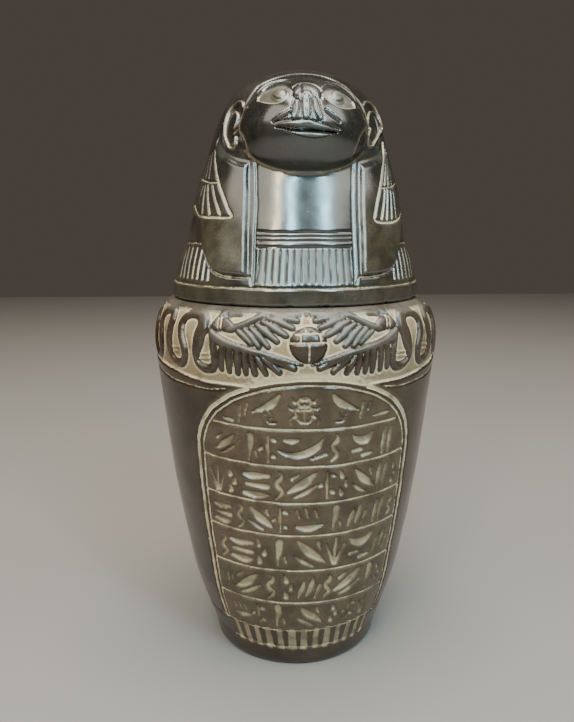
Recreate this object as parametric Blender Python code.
"""Canopic jar of polished dark stone: a hollow jar and a lift-off lid carved as a baboon-headed bust.

The carving is laid out on each wall by angle, in degrees from the front towards +X, and height.
The front faces -Y and the jar stands on z = 0. Sizes are in millimetres, and meshes in metres.
"""
import math

import bmesh
import bpy
from mathutils import Matrix, Vector

MM = 0.001

# Driving dimensions
JAR_HEIGHT = 158.0
LID_TOP = 250.0
SEAT_GAP = 0.3
MOUTH_RADIUS = 41.0
FLOOR_HEIGHT = 12.0
SEGMENTS = 36

# Jar: height and radius of the wall, foot to mouth edge, and where its rings lie
JAR_WALL = [(0, 36.8), (8, 38.5), (20, 42.5), (35, 47.2), (50, 50.2), (80, 55.2), (110, 58.7),
            (128, 60.6), (140, 61.8), (148, 61.0), (153, 59.3), (156, 57.2), (158, 54.0)]
WALL_RINGS = [36, 54, 80, 106]
# Hollow: height and radius, floor to mouth
HOLLOW = [(FLOOR_HEIGHT, 30.0), (30, 39.0), (110, 47.5), (142, MOUTH_RADIUS), (JAR_HEIGHT, MOUTH_RADIUS)]

# Shoulder band, sunk below the wall, with its figures standing up from the ground
BAND_FOOT = 129.0
BAND_HEAD = 156.6
BAND_SINK = 1.1
BAND_RINGS = [BAND_FOOT + 0.7, 140, 149, BAND_HEAD - 0.9]
FIGURE_LIFT = 0.15
ROOT = 0.7
FEATHER_ROOT = 0.5
BOW_HALF_SPAN = 18
BOW_STEP = 6
BALL_CENTRE = (0.0, 145.5)
BALL_RADIUS = 7.2
BALL_BULGE = 5.2
BALL_LIFT = 1.2
# Serpent on each side: upright strands joined by turns, and the tail that it ends in
SERPENT_START = 35.0
SERPENT_STRAND = 8.8
SERPENT_WIDTHS = [3.1, 5.0, 4.1, 4.5, 3.7, 3.0]
SERPENT_TURN_WIDTH = 3.4
SERPENT_LOW = 135.0
SERPENT_HIGH = 154.0
# Wings: (angle, height) places and widths of each leading edge, and how its feathers fan out
UPPER_WING = [(28.5, 151.6), (21.5, 153.3), (15.5, 155.3), (8.0, 156.2), (2.2, 156.3)]
UPPER_WIDTHS = [3.4, 2.6, 2.0, 1.6, 1.2]
LOWER_WING = [(36.5, 149.8), (31.5, 147.0), (21.0, 144.4), (10.0, 141.0), (2.6, 138.2)]
LOWER_WIDTHS = [2.2, 2.6, 2.4, 2.0, 1.2]
LOWER_WING_LIFT = 0.1
UPPER_FEATHERS = {"count": 5, "root": (13.5, 153.8), "root_step": (2.3, -0.9), "fall": 12, "fall_step": 11,
                  "reach": 12.2, "reach_step": -1.2}
LOWER_FEATHERS = {"count": 6, "root": (31.0, 146.0), "root_step": (-3.1, -0.95), "fall": 88, "fall_step": -8,
                  "reach": 10.4, "reach_step": -0.1}
FEATHER_WIDTHS = [1.1, 2.0]
FEATHER_DROP = 0.1

# Inscribed panel
PANEL_TURN = 1.0
PANEL_HALF_ANGLE = 47.0
PANEL_SPREAD = 4.5
ARCH_SPRING = 100.0
ARCH_TOP = 131.5
BORDER_GAP = 2.9
OUTER_LINE_END = 23.0
ARCH_STEPS = 6
SIDE_RING = 60
ROW_LINES = [113.0, 98.0, 82.5, 68.0, 51.5, 35.5]
LUNETTE_HEAD = 124.0
LUNETTE_HALF_SPAN = 26.0
LUNETTE_LINE_GAP = 3.0
LINE_WIDTH = 0.9
LINE_DEPTH = 0.8
MARK_DEPTH = 0.8
MARK_SHARE = 0.74
CLEAR = 2.0
# Second line below the band, from the panel's side right round the back
SECOND_LINE_DROP = 1.9
SECOND_LINE_START = 32
SECOND_LINE_STEP = 11

# Fence below the panel
FENCE_TOP = 19.6
FENCE_FOOT = 9.8
FENCE_POSTS = 13
POST_PITCH = 7.4
POST_WIDTH = 1.9
POST_END_GAP = 0.9
RING_GROOVE = 0.7

# Lid: half-width, front depth and back depth of the bust at each height
LID_WIDTH = [(165, 52.6), (173, 50.2), (181, 47.2), (190, 45.2), (200, 43.0), (210, 39.8),
             (220, 37.1), (228, 34.6), (235, 31.4), (241, 27.0), (246, 20.2), (249, 11.5)]
LID_FRONT = [(165, 52.3), (173, 50.0), (181, 48.0), (190, 45.5), (200, 42.5), (210, 39.5),
             (220, 38.3), (228, 36.6), (235, 33.0), (241, 28.0), (246, 20.2), (249, 11.5)]
LID_BACK = [(165, 52.6), (173, 50.4), (181, 47.6), (190, 46.4), (200, 44.8), (210, 42.0),
            (220, 39.0), (228, 36.0), (235, 31.6), (241, 26.0), (246, 18.6), (249, 10.0)]
LID_RINGS = [165.9, 172, 178, 185, 193, 202, 210, 218, 226, 233, 239, 243.5, 247, 249]
LEAN = 2.0
RIM_RADIUS = 53.0
RIM_TOP = 165.2
RIM_GROOVE = 1.0
PLUG_RADIUS = 40.4
PLUG_DEPTH = 8.0

# Head
FACE_CENTRE = (0.0, -17.0, 222.0)
FACE_RADII = (26.5, 33.0, 21.5)
EYE_CENTRE = (10.6, -39.4, 234.2)
EYE_RADII = (6.8, 3.0, 3.3)
EYE_TURN = math.radians(9)
NOSE_CENTRE = (0.0, -43.6, 234.2)
NOSE_RADII = (5.0, 3.2, 3.7)
LOBE_TOP = (0.0, -45.2, 231.6)
LOBE_FOOT = (0.0, -48.9, 225.4)
LOBE_SPREAD = 4.3
LOBE_GATHER = 0.75
LOBE_SIDE_FOOT = (0.5, 0.8)
LOBE_RADIUS = 2.0
LOBE_STRETCH = 0.62
UPPER_LIP = (-0.8, -47.4, 223.0)
UPPER_LIP_RADII = (11.5, 3.2, 2.0)
LOWER_LIP = (-0.8, -47.2, 219.2)
LOWER_LIP_RADII = (9.8, 2.9, 1.8)
LIP_TURN = math.radians(3)
EAR_RIM = [(47, 236.5), (54, 235.5), (59.5, 231), (60, 225), (55.5, 219.5), (49, 217.0), (45.5, 219.5)]
EAR_FOLD = [(49, 231.5), (52.5, 229), (51.5, 225.5), (48, 223.5)]
EAR_WIDTHS = [1.4, 2, 2.4, 2.4, 2.4, 2.2, 1.4]
EAR_LIFT = 1.7
FOLD_WIDTH = 1.3
FOLD_LIFT = 1.1
FEATURE_ROOT = 1.2

# Bust
LAPPET_INNER = [(169, 24.0), (192, 27.5), (213, 33.0)]
LAPPET_OUTER = [(169, 40.0), (172, 43.5), (178, 49.5), (184, 57.0), (190, 68.0), (200, 74.0), (213, 64.0)]
LAPPET_ROWS = [169, 173, 181, 190, 202, 213]
LAPPET_LIFT = 1.9
LAPPET_ROOT = 1.5
# Extra lift across a lappet, from its inner edge to its outer, below and above the shoulder's line
LAPPET_FOOT_LIFTS = [0.0, 0.0, -0.1, -0.2, -0.4]
LAPPET_HEAD_LIFTS = [0.0, 0.0, -0.1, -0.5, -2.4]
LAPPET_SHOULDER = 190
CHEST_LINES = [185.3, 182.4, 179.6]
CHEST_LINE_WIDTH = 0.9
CHEST_HALF_ANGLE = 21.5
GROOVE_DEPTH = 0.8
FLUTES = 14
FLUTE_HALF_ANGLE = 19.5
FLUTE_FOOT = 166.8
FLUTE_HEAD = 178.6
FLUTE_WIDTH = 1.0
COLLAR_HEAD = 181.5
COLLAR_FOOT = 167.2
COLLAR_START = 47.0
COLLAR_STEP = 6.5
COLLAR_STRIPES = 6
COLLAR_EDGE = 175.4
COLLAR_RISE = 1.1
# Fanned stripes on the headcloth's side, in tiers of (head, foot), from an apex behind the ear
STRIPE_APEX = (66.0, 221.0)
STRIPE_TIERS = [(216.0, 205.0), (202.5, 191.5)]
STRIPE_SPAN = 30.0
STRIPE_START = 48.0
STRIPE_STEP = 11.0
STRIPES = 4
STRIPE_WIDTHS = (0.9, 1.5)


def curve(table, at):
    """Smooth curve through the table's points, read at one place."""
    if at <= table[0][0]:
        return table[0][1]
    if at >= table[-1][0]:
        return table[-1][1]
    last = len(table) - 1
    index = next(i for i in range(last) if at <= table[i + 1][0])

    def slope(i):
        low = max(i - 1, 0)
        high = min(i + 1, last)
        return (table[high][1] - table[low][1]) / (table[high][0] - table[low][0])

    x0, y0 = table[index]
    x1, y1 = table[index + 1]
    step = x1 - x0
    t = (at - x0) / step
    rise = (1 + 2 * t) * (1 - t) ** 2 * y0 + t * t * (3 - 2 * t) * y1
    turn = t * (1 - t) ** 2 * step * slope(index) + t * t * (t - 1) * step * slope(index + 1)
    return rise + turn


def polar(radius, angle, height):
    turn = math.radians(angle)
    return Vector((radius * math.sin(turn), -radius * math.cos(turn), height))


def jar_wall(angle, height, lift=0.0):
    """Point on the jar's wall, moved outwards along the wall's normal by lift."""
    step = 0.5
    slope = (curve(JAR_WALL, height + step) - curve(JAR_WALL, height - step)) / (2 * step)
    length = math.hypot(1.0, slope)
    return polar(curve(JAR_WALL, height) + lift / length, angle, height - lift * slope / length)


def lean_at(height):
    return LEAN * max(height - RIM_TOP, 0) / (LID_TOP - RIM_TOP)


def lid_ring(angle, height):
    turn = math.radians(angle)
    depth = curve(LID_FRONT if math.cos(turn) > 0 else LID_BACK, height)
    radius = 1 / math.hypot(math.sin(turn) / curve(LID_WIDTH, height), math.cos(turn) / depth)
    point = polar(radius, angle, height)
    point.x += lean_at(height)
    return point


def lid_wall(angle, height, lift=0.0):
    """Point on the bust, moved outwards along its normal by lift."""
    point = lid_ring(angle, height)
    across = lid_ring(angle + 1, height) - lid_ring(angle - 1, height)
    up = lid_ring(angle, height + 0.5) - lid_ring(angle, height - 0.5)
    return point + lift * across.cross(up).normalized()


def stroke(mesh, wall, path, widths, inner, outer):
    """Closed bar along a path on a wall, from the lift inner to the lift outer."""
    if not isinstance(widths, (list, tuple)):
        widths = [widths] * len(path)
    rings = []
    for index, (angle, height) in enumerate(path):
        before = path[max(index - 1, 0)]
        after = path[min(index + 1, len(path) - 1)]
        per_degree = math.radians(1) * wall(angle, height).xy.length
        run = Vector(((after[0] - before[0]) * per_degree, after[1] - before[1])).normalized()
        side = Vector((-run.y / per_degree, run.x)) * widths[index] / 2
        left = (angle + side.x, height + side.y)
        right = (angle - side.x, height - side.y)
        corners = [wall(*left, inner), wall(*left, outer), wall(*right, outer), wall(*right, inner)]
        rings.append([mesh.verts.new(corner * MM) for corner in corners])
    for first, second in zip(rings, rings[1:]):
        for k in range(4):
            mesh.faces.new((first[k], first[(k + 1) % 4], second[(k + 1) % 4], second[k]))
    mesh.faces.new(rings[0][::-1])
    mesh.faces.new(rings[-1])


def tile(mesh, wall, rows, inner, outer):
    """Closed plate over rows of (angle, height, extra lift) places on a wall."""
    layers = []
    for base in (inner, outer):
        extra = 0.0 if base == inner else 1.0
        layers.append([[mesh.verts.new(wall(a, h, base + extra * lift) * MM) for a, h, lift in row]
                       for row in rows])
    last_row = len(rows) - 1
    last_column = len(rows[0]) - 1
    for layer in layers:
        for i in range(last_row):
            for j in range(last_column):
                mesh.faces.new((layer[i][j], layer[i][j + 1], layer[i + 1][j + 1], layer[i + 1][j]))
    edge = [(0, j) for j in range(last_column)] + [(i, last_column) for i in range(last_row)]
    edge += [(last_row, j) for j in range(last_column, 0, -1)] + [(i, 0) for i in range(last_row, 0, -1)]
    low, high = layers
    for (i, j), (m, n) in zip(edge, edge[1:] + edge[:1]):
        mesh.faces.new((low[i][j], low[m][n], high[m][n], high[i][j]))


def ellipsoid(mesh, centre, radii, columns=12, rows=8, turn=0.0):
    placed = Matrix.Translation(Vector(centre) * MM) @ Matrix.Rotation(turn, 4, "Y")
    sized = Matrix.Diagonal(Vector((*radii, 1 / MM)) * MM)
    bmesh.ops.create_uvsphere(mesh, u_segments=columns, v_segments=rows, radius=1, matrix=placed @ sized)


def finish(mesh, name):
    """Turn a bmesh into an object with outward faces."""
    bmesh.ops.recalc_face_normals(mesh, faces=mesh.faces)
    data = bpy.data.meshes.new(name)
    mesh.to_mesh(data)
    mesh.free()
    item = bpy.data.objects.new(name, data)
    bpy.context.scene.collection.objects.link(item)
    return item


def shape_with(body, mesh, name, operation):
    """Join or cut body with the carving in mesh, whose bars may cross each other."""
    tool = finish(mesh, name)
    tool.hide_render = True
    tool.display_type = "WIRE"
    modifier = body.modifiers.new(name, "BOOLEAN")
    modifier.object = tool
    modifier.operation = operation
    modifier.solver = "EXACT"
    modifier.use_self = True


def turned(name, outline):
    """Closed body spun from an outline of (radius, height) points that starts and ends on the axis."""
    mesh = bmesh.new()
    points = [mesh.verts.new(Vector((0, -radius, height)) * MM) for radius, height in outline]
    edges = [mesh.edges.new(pair) for pair in zip(points, points[1:])]
    bmesh.ops.spin(mesh, geom=points + edges, cent=(0, 0, 0), axis=(0, 0, 1), angle=math.tau,
                   steps=SEGMENTS, use_merge=True)
    bmesh.ops.remove_doubles(mesh, verts=mesh.verts, dist=0.01 * MM)
    return finish(mesh, name)


def stone(name, colour, roughness):
    material = bpy.data.materials.new(name)
    material.use_nodes = True
    shader = material.node_tree.nodes["Principled BSDF"]
    shader.inputs["Base Color"].default_value = (*colour, 1)
    shader.inputs["Roughness"].default_value = roughness
    shader.inputs["Metallic"].default_value = 0
    return material


# ---- Jar ----

def jar_outline():
    """Outer wall with its two fence grooves and the sunk band, then the seat and the hollow."""
    outline = [(0, 0), (curve(JAR_WALL, 0), 0)]
    for line in (FENCE_FOOT, FENCE_TOP):
        outline += [(curve(JAR_WALL, line - RING_GROOVE), line - RING_GROOVE),
                    (curve(JAR_WALL, line) - LINE_DEPTH, line),
                    (curve(JAR_WALL, line + RING_GROOVE), line + RING_GROOVE)]
    outline += [(curve(JAR_WALL, height), height) for height in WALL_RINGS + [BAND_FOOT]]
    for height in BAND_RINGS:
        ground = jar_wall(0, height, -BAND_SINK)
        outline.append((-ground.y, ground.z))
    outline += [(curve(JAR_WALL, BAND_HEAD), BAND_HEAD), (JAR_WALL[-1][1], JAR_HEIGHT)]
    outline += [(radius, height) for height, radius in reversed(HOLLOW)]
    outline.append((0, FLOOR_HEIGHT))
    return outline


def spread(height):
    """How much further out the panel's side lies below the arch's springing."""
    return PANEL_SPREAD * max(ARCH_SPRING - height, 0) / ARCH_SPRING


def border(half_angle, top, crown_angle, side):
    """Places up one side of the panel's edge and over the arch, as far as crown_angle from its middle."""
    path = [(PANEL_TURN + side * (half_angle + spread(height)), height)
            for height in (FENCE_TOP + LINE_WIDTH, SIDE_RING)]
    for k in range(ARCH_STEPS + 1):
        turn = math.acos(crown_angle / half_angle) * k / ARCH_STEPS
        path.append((PANEL_TURN + side * half_angle * math.cos(turn),
                     ARCH_SPRING + (top - ARCH_SPRING) * math.sin(turn)))
    return path


def add_serpent(mesh, side):
    """Looping body from the wing's root round the jar's side, with strands a fixed angle apart."""
    path = []
    widths = []
    for loop, width in enumerate(SERPENT_WIDTHS):
        angle = SERPENT_START + SERPENT_STRAND * loop
        start, end = (SERPENT_LOW, SERPENT_HIGH) if loop % 2 else (SERPENT_HIGH, SERPENT_LOW)
        path += [(side * angle, start + 0.25 * (end - start)), (side * angle, end - 0.2 * (end - start)),
                 (side * (angle + SERPENT_STRAND / 2), end)]
        widths += [width, width, SERPENT_TURN_WIDTH]
    widths[-2:] = [2.0, 1.2]
    stroke(mesh, jar_wall, path, widths, -BAND_SINK - ROOT, FIGURE_LIFT)


def add_feathers(mesh, side, count, root, root_step, fall, fall_step, reach, reach_step):
    """Feathers hanging from a wing's edge, each turned a little further than the one before."""
    for k in range(count):
        angle, height = root[0] + k * root_step[0], root[1] + k * root_step[1]
        turn = math.radians(fall + k * fall_step)
        length = reach + k * reach_step
        per_degree = math.radians(1) * curve(JAR_WALL, height)
        tip = (side * (angle - length * math.cos(turn) / per_degree), height - length * math.sin(turn))
        stroke(mesh, jar_wall, [(side * angle, height), tip], FEATHER_WIDTHS, -BAND_SINK - FEATHER_ROOT,
               FIGURE_LIFT - FEATHER_DROP)


def add_wings(mesh, side):
    """Upper and lower wing of the creature on one side, each a leading edge with hanging feathers."""
    for wing, widths, lift in ((UPPER_WING, UPPER_WIDTHS, 0), (LOWER_WING, LOWER_WIDTHS, LOWER_WING_LIFT)):
        stroke(mesh, jar_wall, [(side * angle, height) for angle, height in wing], widths,
               -BAND_SINK - ROOT, FIGURE_LIFT + lift)
    add_feathers(mesh, side, **UPPER_FEATHERS)
    add_feathers(mesh, side, **LOWER_FEATHERS)


def add_band(body):
    figures = bmesh.new()
    centre = jar_wall(*BALL_CENTRE, BALL_LIFT - BALL_BULGE)
    ellipsoid(figures, centre, (BALL_RADIUS, BALL_BULGE, BALL_RADIUS - 0.4), 12, 8)
    for side in (-1, 1):
        add_serpent(figures, side)
        add_wings(figures, side)
    bow = [(k, ARCH_SPRING + (ARCH_TOP - ARCH_SPRING) * math.sqrt(1 - (k / PANEL_HALF_ANGLE) ** 2))
           for k in range(-BOW_HALF_SPAN, BOW_HALF_SPAN + 1, BOW_STEP)]
    rows = [[(PANEL_TURN + angle, BAND_FOOT - 0.5, 0.0) for angle, top in bow],
            [(PANEL_TURN + angle, top, 0.0) for angle, top in bow]]
    tile(figures, jar_wall, rows, -BAND_SINK - ROOT, 0.02)
    shape_with(body, figures, "band_figures", "UNION")


# Marks of the rows: strokes of (x, y, width) points in units of a row's free height.
# They are plain invented strokes, and spell nothing.
MARKS = {
    "leaf": [[(-0.52, 0.26, 0.08), (0.02, 0.58, 0.30), (0.42, 0.94, 0.08)],
             [(-0.30, 0.10, 0.12), (0.44, 0.50, 0.10)]],
    "lean": [[(0.50, 0.20, 0.08), (-0.02, 0.60, 0.30), (-0.34, 0.94, 0.08)],
             [(-0.42, 0.42, 0.10), (0.16, 0.06, 0.12)]],
    "bars": [[(-0.46, 0.80, 0.22), (0.44, 0.84, 0.18)], [(-0.46, 0.18, 0.18), (0.42, 0.14, 0.24)]],
    "bend": [[(-0.10, 0.0, 0.12), (0.10, 0.30, 0.15), (-0.08, 0.64, 0.15), (0.06, 1.0, 0.12)]],
    "drops": [[(-0.06, 0.96, 0.12), (-0.02, 0.72, 0.24)], [(0.0, 0.36, 0.14), (0.02, 0.06, 0.26)]],
    "wedge": [[(0.04, 0.96, 0.30), (-0.06, 0.02, 0.12)]],
    "pair": [[(-0.18, 0.02, 0.12), (-0.12, 0.98, 0.15)], [(0.12, 0.0, 0.12), (0.20, 0.96, 0.15)]],
    "dish": [[(-0.44, 0.86, 0.10), (0.0, 0.68, 0.30), (0.44, 0.90, 0.10)],
             [(-0.38, 0.24, 0.14), (0.38, 0.18, 0.16)]],
    "beetle": [[(0.0, 0.10, 0.36), (0.0, 0.52, 0.56), (0.0, 0.92, 0.20)]],
}
MARK_REACH = {"leaf": 1.1, "lean": 1.05, "bars": 1.1, "bend": 0.42, "drops": 0.4, "wedge": 0.36, "pair": 0.6,
              "dish": 1.05, "beetle": 0.8}
LUNETTE = ["pair", "leaf", "beetle", "lean", "pair"]
MARK_ROWS = [
    ["lean", "drops", "bars", "bend", "dish", "pair"],
    ["leaf", "bars", "bend", "lean", "drops", "leaf"],
    ["bars", "bend", "lean", "dish", "wedge", "leaf"],
    ["bend", "bars", "wedge", "lean", "bend", "dish"],
    ["leaf", "bend", "bars", "wedge", "leaf"],
    ["dish", "drops", "lean", "wedge", "dish"],
]


def add_marks(mesh, names, foot, head, half_span):
    """One row of marks, spread evenly between the panel's inner lines."""
    size = (head - foot) * MARK_SHARE
    base = (foot + head - size) / 2
    reaches = [MARK_REACH[name] * size for name in names]
    space = (2 * half_span - sum(reaches)) / len(names)
    left = -half_span + space / 2
    for name, reach in zip(names, reaches):
        middle = left + reach / 2
        left += reach + space
        for points in MARKS[name]:
            path = []
            for x, y, _ in points:
                height = base + y * size
                per_degree = math.radians(1) * curve(JAR_WALL, height)
                path.append((PANEL_TURN + (middle + x * size) / per_degree, height))
            stroke(mesh, jar_wall, path, [width * size for _, _, width in points], -MARK_DEPTH, CLEAR)


def carve_panel(body):
    mesh = bmesh.new()
    inner_half = PANEL_HALF_ANGLE - BORDER_GAP
    left, right = [border(inner_half, ARCH_TOP - BORDER_GAP, 0, side) for side in (-1, 1)]
    stroke(mesh, jar_wall, left[:-1] + right[::-1], LINE_WIDTH, -LINE_DEPTH, CLEAR)
    for side in (-1, 1):
        outer = border(PANEL_HALF_ANGLE, ARCH_TOP, OUTER_LINE_END, side)
        stroke(mesh, jar_wall, outer, LINE_WIDTH, -LINE_DEPTH, CLEAR)
    round_back = range(SECOND_LINE_START, 361 - SECOND_LINE_START, SECOND_LINE_STEP)
    stroke(mesh, jar_wall, [(angle, BAND_FOOT - SECOND_LINE_DROP) for angle in round_back], LINE_WIDTH,
           -LINE_DEPTH, CLEAR)
    for line in ROW_LINES:
        end = inner_half + spread(line) - (LUNETTE_LINE_GAP if line == ROW_LINES[0] else 0)
        steps = 8
        stroke(mesh, jar_wall, [(PANEL_TURN + end * (2 * k / steps - 1), line) for k in range(steps + 1)],
               LINE_WIDTH, -LINE_DEPTH, CLEAR)
    for names, head, foot in zip(MARK_ROWS, ROW_LINES, ROW_LINES[1:] + [FENCE_TOP + 1]):
        add_marks(mesh, names, foot, head, math.radians(inner_half - 1) * curve(JAR_WALL, foot))
    add_marks(mesh, LUNETTE, ROW_LINES[0], LUNETTE_HEAD, LUNETTE_HALF_SPAN)
    for k in range(FENCE_POSTS):
        angle = PANEL_TURN + POST_PITCH * (k - (FENCE_POSTS - 1) / 2)
        stroke(mesh, jar_wall, [(angle, FENCE_FOOT + POST_END_GAP), (angle, FENCE_TOP - POST_END_GAP)],
               POST_WIDTH, -LINE_DEPTH, CLEAR)
    shape_with(body, mesh, "panel_carving", "DIFFERENCE")


def build_jar():
    jar = turned("jar", jar_outline())
    add_band(jar)
    carve_panel(jar)
    jar.data.materials.append(stone("black_stone", (0.022, 0.018, 0.016), 0.28))
    return jar


# ---- Lid ----

def bust_body():
    """Plug, rim and bust as rings bridged from the plug's underside to the crown."""
    foot = JAR_HEIGHT + SEAT_GAP
    plug_foot = foot - PLUG_DEPTH
    round_rings = [(PLUG_RADIUS - 0.8, plug_foot), (PLUG_RADIUS, foot), (RIM_RADIUS - 0.8, foot),
                   (RIM_RADIUS, foot + 0.8), (RIM_RADIUS, RIM_TOP - 0.5), (RIM_RADIUS - RIM_GROOVE, RIM_TOP)]
    angles = [360 * k / SEGMENTS for k in range(SEGMENTS)]
    mesh = bmesh.new()
    rings = [[mesh.verts.new(polar(radius, angle, height) * MM) for angle in angles]
             for radius, height in round_rings]
    rings += [[mesh.verts.new(lid_ring(angle, height) * MM) for angle in angles] for height in LID_RINGS]
    loops = [[mesh.edges.new((ring[k - 1], ring[k])) for k in range(SEGMENTS)] for ring in rings]
    for low, high in zip(loops, loops[1:]):
        bmesh.ops.bridge_loops(mesh, edges=low + high)
    mesh.faces.new(rings[0])
    crown = mesh.faces.new(rings[-1])
    peak = bmesh.ops.poke(mesh, faces=[crown])["verts"][0]
    peak.co.z = LID_TOP * MM
    return finish(mesh, "lid")


def add_lappets(mesh, side):
    rows = []
    for height in LAPPET_ROWS:
        inner = curve(LAPPET_INNER, height)
        outer = curve(LAPPET_OUTER, height)
        lifts = LAPPET_HEAD_LIFTS if height >= LAPPET_SHOULDER else LAPPET_FOOT_LIFTS
        columns = [inner + (outer - inner) * k / (len(lifts) - 1) for k in range(len(lifts))]
        rows.append([(side * angle, height, lift) for angle, lift in zip(columns, lifts)])
    tile(mesh, lid_wall, rows, -LAPPET_ROOT, LAPPET_LIFT)


def add_head(body):
    face = bmesh.new()
    ellipsoid(face, FACE_CENTRE, FACE_RADII, 22, 12)
    for item in face.verts:
        item.co.x += lean_at(FACE_CENTRE[2]) * MM
    shape_with(body, face, "face", "UNION")
    features = bmesh.new()
    shift = Vector((lean_at(LOBE_FOOT[2]), 0, 0))
    for side in (-1, 1):
        eye = Vector((side * EYE_CENTRE[0], EYE_CENTRE[1], EYE_CENTRE[2])) + shift
        ellipsoid(features, eye, EYE_RADII, 10, 6, side * EYE_TURN)
        stroke(features, lid_wall, [(side * a, h) for a, h in EAR_RIM], EAR_WIDTHS, -FEATURE_ROOT, EAR_LIFT)
        fold = [(side * a, h) for a, h in EAR_FOLD]
        stroke(features, lid_wall, fold, FOLD_WIDTH, -FEATURE_ROOT, FOLD_LIFT)
    ellipsoid(features, Vector(NOSE_CENTRE) + shift, NOSE_RADII, 10, 6)
    for lobe in (-1, 0, 1):
        top = Vector(LOBE_TOP) + Vector((lobe * LOBE_SPREAD * LOBE_GATHER, 0, 0)) + shift
        aside = Vector((lobe * LOBE_SPREAD, *(abs(lobe) * part for part in LOBE_SIDE_FOOT)))
        foot = Vector(LOBE_FOOT) + aside + shift
        run = foot - top
        placed = Matrix.Translation((top + foot) / 2 * MM) @ run.to_track_quat("Z", "Y").to_matrix().to_4x4()
        sized = Matrix.Diagonal(Vector((LOBE_RADIUS, LOBE_RADIUS, LOBE_STRETCH * run.length, 1 / MM)) * MM)
        bmesh.ops.create_uvsphere(features, u_segments=8, v_segments=6, radius=1, matrix=placed @ sized)
    ellipsoid(features, Vector(UPPER_LIP) + shift, UPPER_LIP_RADII, 12, 6, LIP_TURN)
    ellipsoid(features, Vector(LOWER_LIP) + shift, LOWER_LIP_RADII, 12, 6, LIP_TURN)
    for side in (-1, 1):
        add_lappets(features, side)
    shape_with(body, features, "head_features", "UNION")


def add_stripes(mesh, side):
    """Two tiers of fanned stripes on the headcloth's side, and the collar's stripes below it."""
    apex_angle, apex_height = STRIPE_APEX
    for tier in STRIPE_TIERS:
        for k in range(STRIPES):
            lean = STRIPE_START + STRIPE_STEP * k - apex_angle
            path = [(side * (apex_angle + lean * (apex_height - height) / STRIPE_SPAN), height)
                    for height in tier]
            stroke(mesh, lid_wall, path, STRIPE_WIDTHS, -GROOVE_DEPTH, CLEAR + LAPPET_LIFT)
    for k in range(COLLAR_STRIPES):
        angle = COLLAR_START + COLLAR_STEP * k
        head = min(COLLAR_HEAD, COLLAR_EDGE + COLLAR_RISE * (angle - COLLAR_START))
        stroke(mesh, lid_wall, [(side * angle, head), (side * angle, COLLAR_FOOT)], STRIPE_WIDTHS[1],
               -GROOVE_DEPTH, CLEAR)


def carve_bust(body):
    mesh = bmesh.new()
    for height in CHEST_LINES:
        places = [(CHEST_HALF_ANGLE * (k / 3 - 1), height) for k in range(7)]
        stroke(mesh, lid_wall, places, CHEST_LINE_WIDTH, -GROOVE_DEPTH, CLEAR)
    for k in range(FLUTES):
        angle = FLUTE_HALF_ANGLE * (2 * k / (FLUTES - 1) - 1)
        stroke(mesh, lid_wall, [(angle, FLUTE_HEAD), (angle, FLUTE_FOOT)], FLUTE_WIDTH, -GROOVE_DEPTH, CLEAR)
    for side in (-1, 1):
        add_stripes(mesh, side)
    shape_with(body, mesh, "bust_grooves", "DIFFERENCE")


def build_lid():
    lid = bust_body()
    add_head(lid)
    carve_bust(lid)
    lid.data.materials.append(stone("black_stone_lid", (0.022, 0.018, 0.016), 0.24))
    return lid


def main():
    for item in list(bpy.data.objects):
        bpy.data.objects.remove(item)
    build_jar()
    build_lid()


main()
